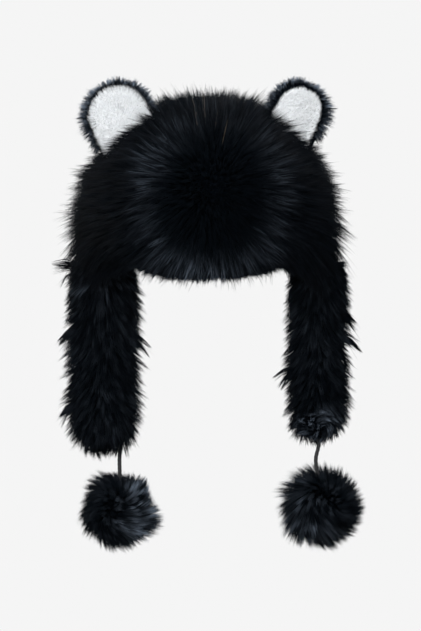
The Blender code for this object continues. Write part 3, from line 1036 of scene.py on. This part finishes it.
@dataclass(frozen=True)
class Flap:
    """A padded side flap in long fur.

    Attributes:
        side: Which side it is on.
        width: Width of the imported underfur.
        thickness: Its thickness, front to back.
        solid_width: Width of the CAD solid less its locks that the width is drawn for.
        locks_across: How much the CAD's locks add to its solid's width.
        locks_deep: How far its locks stand out at the front.
        locks_below: How far its locks hang below.
        sides: Points round it.
        between: Rings for each row of SECTIONS.
        coat: Its fur.
        tufts: The few large tufts at its sides.
    """

    side: Side
    width: float = 0.047
    thickness: float = 0.038
    solid_width: float = 0.046
    locks_across: float = 0.024
    locks_deep: float = 0.011
    locks_below: float = 0.009
    sides: int = 28
    between: int = 4
    coat: Coat = Coat(
        hairs=760000.0, locks=70000.0, length=0.0210, lift=0.66, lean=0.60, width=0.00036,
        gather=0.70, ruffle=1.3, grain=60.0, scatter=0.10, tousle=0.22, bends=1, seed=31, lock_seed=33,
    )
    tufts: Coat = Coat(
        hairs=1200000.0, locks=6000.0, length=0.0260, lift=0.90, lean=0.62, width=0.00034,
        gather=0.93, ruffle=0.4, grain=60.0, scatter=0.03, bends=2, seed=71, lock_seed=73,
    )

    # Half the height of the skin that a tuft stands on
    TUFT_REACH: ClassVar[float] = 0.0045
    # The painted sheen where nothing catches the light
    FAINT: ClassVar[float] = 0.16
    # The wisp of painted sheen across the left flap: its height, the X where it has that height, its slope
    # and width
    WISP: ClassVar[tuple[float, float, float, float]] = (-0.151, -0.105, 0.2, 0.003)
    # Middle of the swirl at the right flap's end
    SWIRL: ClassVar[Vector] = Vector((0.114, 0.0, -0.296))
    # Drop, size and spread from the seam to the end, as shares of the length, the width and the root's depth
    SECTIONS: ClassVar[tuple[tuple[float, float, float], ...]] = (
        (0.00, 1.00, 1.00), (0.06, 1.01, 0.96), (0.13, 1.00, 0.80), (0.20, 0.99, 0.58),
        (0.27, 0.98, 0.36), (0.34, 0.98, 0.18), (0.41, 0.99, 0.07), (0.48, 1.00, 0.00),
        (0.55, 1.01, 0.00), (0.62, 1.02, 0.00), (0.69, 1.02, 0.00), (0.76, 1.02, 0.00),
        (0.83, 1.01, 0.00), (0.89, 0.97, 0.00), (0.94, 0.87, 0.00), (0.98, 0.60, 0.00),
        (1.00, 0.20, 0.00),
    )

    @property
    def node(self) -> str:
        """Name of the flap's CAD node."""
        return "flap_" + self.side.name

    @cached_property
    def corners(self) -> tuple[Vector, Vector]:
        """The lowest and highest corners of the flap's CAD solid."""
        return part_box(self.node)

    @cached_property
    def middle(self) -> float:
        """X of the flap's middle line."""
        low, high = self.corners
        return (low.x + high.x) / 2

    def fine_sections(self) -> list[tuple[float, ...]]:
        """The sections with more put in between them.

        Returns:
            Rows as in SECTIONS.
        """
        found = []
        for above, below in zip(self.SECTIONS, self.SECTIONS[1:]):
            for step in range(self.between):
                share = step / self.between
                found.append(tuple(a + (b - a) * share for a, b in zip(above, below)))
        return found + [self.SECTIONS[-1]]

    def body(self) -> Piece:
        """The flap's packed underfur, inside its CAD solid.

        Returns:
            The body.
        """
        low, high = self.corners
        root = (high.y - low.y) / 2 - self.locks_deep
        plump = (high.x - low.x - self.locks_across) / self.solid_width
        length = high.z - low.z - self.locks_below
        rings = []
        for drop, size, spread in self.fine_sections():
            wide = self.width / 2 * size * plump
            deep = self.thickness / 2 * size + (root - self.thickness / 2) * spread
            z = high.z - length * drop
            rings.append([Vector((self.middle + wide * x, deep * y, z)) for x, y in circle(self.sides)])
        return ring_body("flap_body_" + self.side.name, rings, UNDERFUR)

    def swirled(self, point: Vector) -> float:
        """1 in the swirl of fine hair at the right flap's end, and 0 away from there."""
        if self.side is LEFT or point.y > 0.0:
            return 0.0
        return smoothstep(0.028, 0.014, (Vector((point.x, 0.0, point.z)) - self.SWIRL).length)

    def flow(self, point: Vector, normal: Vector) -> Vector:
        """The nap: down and outwards, and round and round in the swirl.

        Args:
            point: A point of the skin.
            normal: The skin's normal there.

        Returns:
            The nap's direction.
        """
        out = Vector((point.x - self.middle, 0.0, 0.0)) * 8.0
        swirl = self.swirled(point)
        round_it = Vector((point.z - self.SWIRL.z, 0.0, self.SWIRL.x - point.x)) * 50.0
        return along_skin((DOWN + out) * (1.0 - swirl) + round_it * swirl, normal)

    def pile(self, point: Vector, _: Vector) -> float:
        """The fur's length: shorter at the seam, the end and in the swirl.

        Args:
            point: A point of the skin.

        Returns:
            Share of the coat's length.
        """
        low, high = self.corners
        drop = (high.z - point.z) / (high.z - low.z)
        length = (0.62 + 0.38 * smoothstep(0.0, 0.16, drop)) * (1.0 - 0.25 * smoothstep(0.84, 1.0, drop))
        return length * (1.0 + self.side.shag) * (1.0 - 0.35 * self.swirled(point))

    def gloss(self, point: Vector) -> float:
        """The fur's painted sheen: faint, with a wisp across the left flap and a patch near the right flap's
        end.

        Args:
            point: A point of the skin.

        Returns:
            Share of the full painted sheen.
        """
        if self.side is RIGHT:
            return self.FAINT + self.swirled(point)
        height, middle, slope, width = self.WISP
        wisp = hump(point.z, height + slope * (point.x - middle), width) if point.y < 0.0 else 0.0
        return self.FAINT + 0.6 * wisp

    def below_seam(self, _: Vector, normal: Vector) -> bool:
        """Whether a face looks away from the seam under the cap."""
        return normal.z < 0.5

    def tufted(self, centre: Vector, normal: Vector) -> bool:
        """Whether a large tuft stands on a face.

        Args:
            centre: The face's centre.
            normal: Its normal.

        Returns:
            Whether one does.
        """
        outside = (centre.x - self.middle) * self.side.sign > 0.0
        heights = self.side.outer_tufts if outside else self.side.inner_tufts
        near = any(abs(centre.z - height) < self.TUFT_REACH for height in heights)
        return near and abs(normal.x) > 0.75 and -0.012 < centre.y < 0.004

    def build(self, fur: FurTree) -> None:
        """Makes the flap's pieces.

        Args:
            fur: The tree that grows the hairs.
        """
        name = self.side.name
        body = self.body()
        skin = set_nap(copy_of(body), self.flow, self.pile, self.below_seam, self.gloss)
        hairs = fur.grow("flap_fur_" + name, skin, self.coat, BLACK_FUR)
        skin = set_nap(copy_of(body), self.flow, full_length, self.tufted, self.gloss)
        settle(fur.grow("flap_tufts_" + name, skin, self.tufts, BLACK_FUR), Slot.FUR, self.node)
        settle(body, Slot.FUR, self.node)
        settle(hairs, Slot.FUR, self.node)


@dataclass(frozen=True)
class Pompom:
    """A round fur pompom.

    Attributes:
        side: Which side it hangs on.
        core: Share of the CAD solid's radius that is packed underfur.
        sheen: Strength of the painted sheen on the side that catches the light.
        rows: Steps from the top to the bottom.
        columns: Points round it.
        coat: Its fur.
    """

    side: Side
    core: float = 0.62
    sheen: float = 1.8
    rows: int = 16
    columns: int = 28
    coat: Coat = Coat(
        hairs=2600000.0, locks=70000.0, length=0.0190, lift=0.80, lean=0.80, width=0.00028,
        gather=0.56, ruffle=1.7, grain=42.0, bends=1, seed=41, lock_seed=43,
    )

    @property
    def node(self) -> str:
        """Name of the pompom's CAD node."""
        return "pompom_" + self.side.name

    @cached_property
    def centre(self) -> Vector:
        """The pompom's centre."""
        low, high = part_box(self.node)
        return (low + high) / 2

    @cached_property
    def radius(self) -> float:
        """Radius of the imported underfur."""
        low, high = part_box(self.node)
        return (high - low).length / math.sqrt(3.0) / 2 * self.core

    def body(self) -> Piece:
        """The ball of packed underfur.

        Returns:
            The body.
        """
        rings = []
        for row in range(self.rows + 1):
            polar = math.pi * (0.02 + 0.96 * row / self.rows)
            out, up = math.sin(polar), math.cos(polar)
            ways = [Vector((out * x, out * y, up)) for x, y in circle(self.columns)]
            rings.append([self.centre + self.radius * way for way in ways])
        return ring_body("pompom_body_" + self.side.name, rings, UNDERFUR)

    def flow(self, point: Vector, normal: Vector) -> Vector:
        """The nap: round an axis that points to the front, and a little downwards."""
        axis = Vector((0.35 * self.side.sign, -0.80, 0.45)).normalized()
        return axis.cross(point - self.centre) * (1.0 / self.radius) + along_skin(DOWN, normal) * 0.25

    def pile(self, point: Vector, _: Vector) -> float:
        """The fur's length: longer on the side towards the middle."""
        return 1.0 + 0.16 * max(-self.side.sign * (point.x - self.centre.x) / self.radius, 0.0)

    def gloss(self, point: Vector) -> float:
        """The fur's painted sheen: a rippled patch low on the side towards the middle.

        Args:
            point: A point of the skin.

        Returns:
            Share of the full painted sheen.
        """
        away = (point - self.centre) / self.radius
        lit = Vector((-self.side.sign, -0.3, -0.35)).normalized()
        ripple = 0.55 + 0.45 * math.sin(9.0 * away.z + 5.0 * away.x)
        return 0.14 + self.sheen * self.side.shine * smoothstep(-0.1, 0.7, away.dot(lit)) * ripple

    def build(self, fur: FurTree) -> tuple[Piece, Piece]:
        """Makes the pompom's pieces.

        Args:
            fur: The tree that grows the hairs.

        Returns:
            The core and the fur.
        """
        body = self.body()
        skin = set_nap(copy_of(body), self.flow, self.pile, everywhere, self.gloss)
        hairs = fur.grow("pompom_fur_" + self.side.name, skin, self.coat, BLACK_FUR)
        settle(body, Slot.FUR, self.node)
        settle(hairs, Slot.FUR, self.node)
        return body, hairs


@dataclass(frozen=True)
class Ear:
    """A round ear: a black furred pad with white plush on its front.

    Attributes:
        side: Which side it is on.
        cap: The cap that it is sewn to.
        width: Width of the pad, for an ear of full size.
        thickness: Depth of its rounded back.
        root: How far it runs down into the cap's fur.
        forward: How far in front of the cap's middle it is sewn.
        angle: How far round the dome from the top it is sewn, in degrees.
        seat: Distance from the hollow to the seam.
        pad: Thickness of the white pad.
        neck: How far down the round outline goes before the root, as a share of half a turn.
        crown: Height of the outline's round top, as a share of its half width.
        clearance: Gap between the ear's flat front and the pad's back.
        sides: Points round it.
        rows: Steps from the tip to the root.
        coat: The black fur on its back and rim.
        plush: The white pile on its front.
        wisps: Fine black hairs over the white's edge.
    """

    side: Side
    cap: Cap
    width: float = 0.068
    thickness: float = 0.014
    root: float = 0.034
    forward: float = 0.024
    angle: float = 42.0
    seat: float = 0.0245
    pad: float = 0.0040
    neck: float = 0.75
    crown: float = 0.92
    clearance: float = 0.0003
    sides: int = 32
    rows: int = 16
    coat: Coat = Coat(
        hairs=1500000.0, locks=170000.0, length=0.0122, lift=0.64, lean=0.74, width=0.00028,
        gather=0.82, ruffle=1.5, grain=120.0, scatter=0.22, bends=1, seed=51, lock_seed=53,
    )
    plush: Coat = Coat(
        hairs=1500000.0, locks=90000.0, length=0.0048, lift=0.20, lean=1.0, width=0.00038,
        gather=0.35, ruffle=0.5, grain=90.0, scatter=0.1, bends=1, seed=61, lock_seed=63,
    )
    wisps: Coat = Coat(
        hairs=420000.0, locks=60000.0, length=0.0100, lift=0.30, lean=1.0, width=0.00013,
        gather=0.3, ruffle=0.9, grain=120.0, scatter=0.15, bends=1, seed=81, lock_seed=83,
    )

    # How far the underfur stays inside the fur's outline
    INSET: ClassVar[float] = 0.001
    # The first ring, as a share of half a turn from the tip
    TIP: ClassVar[float] = 0.03

    @cached_property
    def place(self) -> Matrix:
        """The ear's own axes: +Z along it, +X across it and -Y out of its white front.

        Returns:
            The matrix from them to the frame.
        """
        angle = math.radians(self.angle)
        breadth = self.cap.breadth / 2 + self.seat
        equator = self.cap.band - self.cap.depth
        height = self.seat - equator
        power = self.cap.power
        reach = ((math.sin(angle) / breadth) ** power + (math.cos(angle) / height) ** power) ** (-1.0 / power)
        x = self.side.sign * reach * math.sin(angle)
        seat = Vector((x, -self.forward, equator + reach * math.cos(angle)))
        tilt = Matrix.Rotation(math.radians(self.side.tilt) * self.side.sign, 4, "Y")
        turn = Matrix.Rotation(math.radians(self.side.turn) * self.side.sign, 4, "Z")
        return Matrix.Translation(seat) @ tilt @ turn

    @cached_property
    def back_to_ear(self) -> Matrix:
        """The matrix from the frame to the ear's own axes."""
        return self.place.inverted()

    @cached_property
    def turn(self) -> Matrix:
        """The turn from the ear's own axes to the frame's, for directions."""
        return self.place.to_3x3()

    @property
    def radius(self) -> float:
        """Half the ear's width."""
        return self.width / 2 * self.side.ear

    def rings(self, front: float, back: float, border: float) -> list[Ring]:
        """Rings of the ear or its pad, from the tip down.

        Args:
            front: Depth of the flat front.
            back: Depth of the rounded back.
            border: How far it stays inside the ear's outline.

        Returns:
            The rings in the row frame.
        """
        radius = self.radius - border
        rings = []
        for row in range(self.rows + 1):
            polar = (self.TIP + (self.neck - self.TIP) * row / self.rows) * math.pi
            half = math.sin(min(polar, math.pi / 2))
            flat = self.crown if polar < math.pi / 2 else 1.0
            z = self.side.rise + radius * flat * math.cos(polar) if row < self.rows else -self.root
            ring = []
            for turn in turns(self.sides):
                across = math.copysign(abs(math.cos(turn)) ** 0.8, math.cos(turn))
                deep = math.sin(turn)
                y = back * math.sqrt(half) * deep if deep > 0.0 else front * min(1.0, -3.0 * deep)
                ring.append(self.place @ Vector((radius * half * across, y, z)))
            rings.append(ring)
        return rings

    def from_middle(self, point: Vector) -> Vector:
        """A point of the frame, from the ear's middle, on the ear's own axes."""
        local = self.back_to_ear @ point
        return Vector((local.x, local.y, local.z - self.side.rise))

    def reach(self, point: Vector) -> float:
        """Distance from the ear's middle across its front, as a share of half its width."""
        local = self.from_middle(point)
        return math.hypot(local.x, local.z) / self.radius

    def outwards(self, point: Vector, normal: Vector) -> Vector:
        """The black fur's nap: away from the ear's middle."""
        local = self.from_middle(point)
        return along_skin(self.turn @ Vector((local.x, 0.0, local.z)), normal)

    def upwards(self, point: Vector, normal: Vector) -> Vector:
        """The plush's nap: up the ear, and outwards near its edge."""
        local = self.from_middle(point)
        spread = Vector((local.x, 0.0, local.z)) / self.radius
        return along_skin(self.turn @ (Vector((0.0, 0.0, 0.8)) + spread), normal)

    def rim_pile(self, point: Vector, _: Vector) -> float:
        """The black fur's length: longer on the outer side and low down.

        Args:
            point: A point of the skin.

        Returns:
            Share of the coat's length.
        """
        local = self.from_middle(point)
        outer = smoothstep(0.2, 0.9, local.x * self.side.sign / self.radius)
        low = smoothstep(0.012, -0.020, local.z)
        return 0.66 + 0.34 * max(outer * 0.8, low)

    def rim_painted_sheen(self, point: Vector) -> float:
        """The black fur's painted sheen: bluish along the top of the rim, and less behind.

        Args:
            point: A point of the skin.

        Returns:
            Share of the full painted sheen.
        """
        local = self.from_middle(point)
        high = smoothstep(0.0, 0.024, local.z)
        return (1.1 + 2.4 * high) * (1.0 - 0.6 * smoothstep(0.004, 0.012, local.y))

    def white_pile(self, point: Vector, _: Vector) -> float:
        """The plush's length: longer at its edge, where it laps over the black."""
        return 1.0 + 0.8 * smoothstep(0.72, 0.92, self.reach(point))

    def paleness(self, point: Vector) -> float:
        """The plush's painted shade: palest in the middle, greyer towards its edge."""
        return 1.3 - 0.9 * smoothstep(0.45, 1.0, self.reach(point))

    def on_back(self, centre: Vector, normal: Vector) -> bool:
        """Whether black fur grows on a face: all but the white's place, and not down in the cap's fur.

        Args:
            centre: The face's centre.
            normal: Its normal.

        Returns:
            Whether it does.
        """
        local = self.from_middle(centre)
        bordering = math.hypot(local.x, max(local.z, 0.0)) / self.radius > 0.84
        behind = (self.turn.inverted() @ normal).y > -0.8
        return (behind or bordering) and local.z > -0.012 - self.side.rise

    def on_front(self, _: Vector, normal: Vector) -> bool:
        """Whether a face looks out of the white front."""
        return (self.turn.inverted() @ normal).y < -0.2

    def on_edge(self, centre: Vector, normal: Vector) -> bool:
        """Whether wisps grow on a face: the upper edge of the white."""
        high = self.from_middle(centre).z > -0.004
        return high and self.reach(centre) > 0.66 and self.on_front(centre, normal)

    def build(self, fur: FurTree) -> None:
        """Makes the ear's pieces.

        Args:
            fur: The tree that grows the hairs.
        """
        name = self.side.name
        body = ring_body("ear_body_" + name, self.rings(0.0, self.thickness, self.INSET), UNDERFUR)
        front = self.rings(-self.pad, -self.clearance, self.side.border + self.INSET)
        pad = ring_body("ear_plush_" + name, front, PLUSH_BASE)
        skin = set_nap(copy_of(body), self.outwards, self.rim_pile, self.on_back, self.rim_painted_sheen)
        hairs = fur.grow("ear_fur_" + name, skin, self.coat, EAR_FUR_PAINTED_SHEEN)
        skin = set_nap(copy_of(pad), self.upwards, self.white_pile, self.on_front, self.paleness)
        plush = fur.grow("ear_pile_" + name, skin, self.plush, WHITE_PLUSH)
        skin = set_nap(copy_of(pad), self.outwards, full_length, self.on_edge, full_painted_light)
        settle(fur.grow("ear_wisps_" + name, skin, self.wisps, BLACK_FUR), Slot.FUR, "ear_" + name)
        settle(body, Slot.FUR, "ear_" + name)
        settle(hairs, Slot.FUR, "ear_" + name)
        settle(pad, Slot.PLUSH, "ear_inner_" + name)
        settle(plush, Slot.PLUSH, "ear_inner_" + name)


@dataclass(frozen=True)
class Cord:
    """A twisted cord from a flap's end to its pompom.

    Attributes:
        side: Which side it hangs on.
        diameter: Diameter over the strands.
        sewn: How far it runs on into the pompom.
        strands: How many strands are twisted.
        lay: Height of one full twist, in metres.
        valley: Depth of the valleys between strands, as a share of the radius.
        sides: Points round it.
        steps: Points on its free stretch.
    """

    side: Side
    diameter: float = 0.0042
    sewn: float = 0.020
    strands: int = 3
    lay: float = 0.013
    valley: float = 0.24
    sides: int = 24
    steps: int = 60

    def line(self, node: Piece) -> list[Vector]:
        """Points along the cord's middle, from the flap down into the pompom.

        Args:
            node: The cord's CAD node.

        Returns:
            The points.
        """
        low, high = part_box(node.name)
        length = high.z - low.z
        top = [vertex.co for vertex in node.data.vertices if vertex.co.z > high.z - 0.0005]
        start = Vector((sum(point.x for point in top) / len(top), (low.y + high.y) / 2, high.z))
        offsets = self.side.cord
        found = []
        for step in range(self.steps):
            at = step * (len(offsets) - 1) / (self.steps - 1)
            k = min(int(at), len(offsets) - 2)
            aside = offsets[k] + (offsets[k + 1] - offsets[k]) * (at - k)
            drop = length * step / (self.steps - 1)
            found.append(start + Vector((self.side.sign * aside, 0.0, -drop)))
        end = found[-1]
        sewn = max(2, round(self.sewn / length * self.steps))
        return found + [end + DOWN * self.sewn * (k + 1) / sewn for k in range(sewn)]

    def build(self, node: Piece, hung: Sequence[Piece]) -> None:
        """Makes the cord.

        Args:
            node: The cord's CAD node.
            hung: Not used.
        """
        path = self.line(node)
        rings = []
        travelled = 0.0
        for above, point in zip([path[0], *path], path):
            travelled += (point - above).length
            ring = []
            for turn in turns(self.sides):
                phase = self.strands / 2 * (turn - 2.0 * math.pi * travelled / self.lay)
                radius = self.diameter / 2 * (1.0 - self.valley * (1.0 - abs(math.cos(phase)) ** 0.8))
                ring.append(point + radius * Vector((math.cos(turn), math.sin(turn), 0.0)))
            rings.append(ring)
        piece = settle(ring_body("cord_" + self.side.name + "_yarn", rings, CORD_YARN), Slot.CORD, node.name)
        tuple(path[0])


@dataclass(frozen=True)
class Lamp:
    """A square soft light.

    Attributes:
        name: Name of the light.
        place: Where it stands.
        size: Side of the square.
        power: Power in watts.
    """

    name: str
    place: tuple[float, float, float]
    size: float
    power: float

    def build(self, target: Vector) -> None:
        """Makes the light.

        Args:
            target: The point it is aimed at.
        """
        data = bpy.data.lights.new(self.name, "AREA")
        data.shape = "SQUARE"
        data.size = self.size
        data.energy = self.power
        made = link(self.name, data)
        made.location = self.place
        made.rotation_euler = (target - Vector(self.place)).to_track_quat("-Z", "Y").to_euler()


@dataclass(frozen=True)
class Studio:
    """The plain pale background, the lights and the camera of the photograph.

    Attributes:
        background: Brightness of the background as the camera sees it.
        ambient: Brightness that the background lights the fur with.
        aim: The point at the middle of the picture.
        distance: Distance of the camera from it.
        field: Height of the picture at that distance.
        elevation: How far above the horizon the camera stands, in degrees.
        sensor: Width of the camera's sensor, in millimetres.
        farthest: Distance that the camera sees to.
        floor_level: Height of the floor.
        floor_radius: Radius of the floor.
        floor_sides: Corners of the floor.
        lamps: The lights.
    """

    background: float = 0.913
    ambient: float = 0.12
    aim: Vector = Vector((0.0025, 0.0, -0.1855))
    distance: float = 2.6
    field: float = 0.631
    elevation: float = 1.5
    sensor: float = 36.0
    farthest: float = 20.0
    floor_level: float = -2.0
    floor_radius: float = 1.5
    floor_sides: int = 64
    lamps: tuple[Lamp, ...] = (
        Lamp("front", (-0.25, -2.3, 0.35), 0.5, 62.0),
        Lamp("left", (-1.4, -1.2, 0.4), 0.7, 10.0),
        Lamp("right", (1.4, -1.2, 0.4), 0.7, 12.0),
        Lamp("side_left", (-1.9, 1.1, 0.5), 0.8, 18.0),
        Lamp("side_right", (1.9, 1.1, 0.5), 0.8, 28.0),
        Lamp("top", (0.0, 0.2, 1.4), 0.8, 9.0),
        Lamp("back", (0.0, 2.1, 0.7), 0.8, 54.0),
        Lamp("below", (0.0, -0.6, -1.7), 0.8, 6.0),
    )

    def _surround(self) -> None:
        """Makes the background, with one brightness for the camera and another for the fur."""
        world = bpy.data.worlds.new("studio")
        bpy.context.scene.world = world
        world.use_nodes = True
        graph = Graph(world.node_tree)
        seen = graph.tree.nodes["Background"]
        graph.put(seen.inputs["Color"], (self.background, self.background, self.background, 1.0))
        lit = graph.node("ShaderNodeBackground", {"Color": (1.0, 1.0, 1.0, 1.0), "Strength": self.ambient})
        looked_at = graph.node("ShaderNodeLightPath").outputs["Is Camera Ray"]
        both = {"Fac": looked_at, 1: lit.outputs["Background"], 2: seen.outputs["Background"]}
        mixed = graph.node("ShaderNodeMixShader", both)
        graph.put(graph.tree.nodes["World Output"].inputs["Surface"], mixed.outputs["Shader"])

    def _floor(self) -> None:
        """Makes the round pale floor."""
        middle = Vector((0.0, 0.0, self.floor_level))
        rim = [middle + Vector((x, y, 0.0)) * self.floor_radius for x, y in circle(self.floor_sides)]
        add_mesh("floor", rim, [range(self.floor_sides)], PALE_FLOOR)

    def _camera(self) -> None:
        """Makes the camera at the photograph's viewing angle."""
        data = bpy.data.cameras.new("camera")
        data.sensor_fit = "AUTO"
        data.sensor_width = self.sensor
        data.lens = self.sensor * self.distance / self.field
        data.clip_end = self.farthest
        camera = link("camera", data)
        rise = math.radians(self.elevation)
        camera.location = self.aim + self.distance * Vector((0.0, -math.cos(rise), math.sin(rise)))
        camera.rotation_euler = (math.pi / 2 - rise, 0.0, 0.0)
        bpy.context.scene.camera = camera

    def build(self) -> None:
        """Makes the background, the lights, the floor and the camera."""
        self._surround()
        for lamp in self.lamps:
            lamp.build(self.aim)
        self._floor()
        self._camera()
        bpy.context.scene.view_settings.view_transform = "Standard"


def main() -> None:
    """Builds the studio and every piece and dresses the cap's cloth."""
    logging.basicConfig(level=logging.INFO, format="%(name)s: %(message)s")
    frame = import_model()
    Studio().build()
    fur = FurTree()
    for side in (LEFT, RIGHT):
        hung = Pompom(side).build(fur)
        Cord(side).build(frame["nodes"]["cord_" + side.name], hung)
    cap = Cap()
    cap.build(fur)
    for side in (LEFT, RIGHT):
        Flap(side).build(fur)
        Ear(side, cap).build(fur)
    for place in frame["nodes"]["cap"].material_slots:
        place.material = CAP_CLOTH.material()


if __name__ == "__main__":
    main()
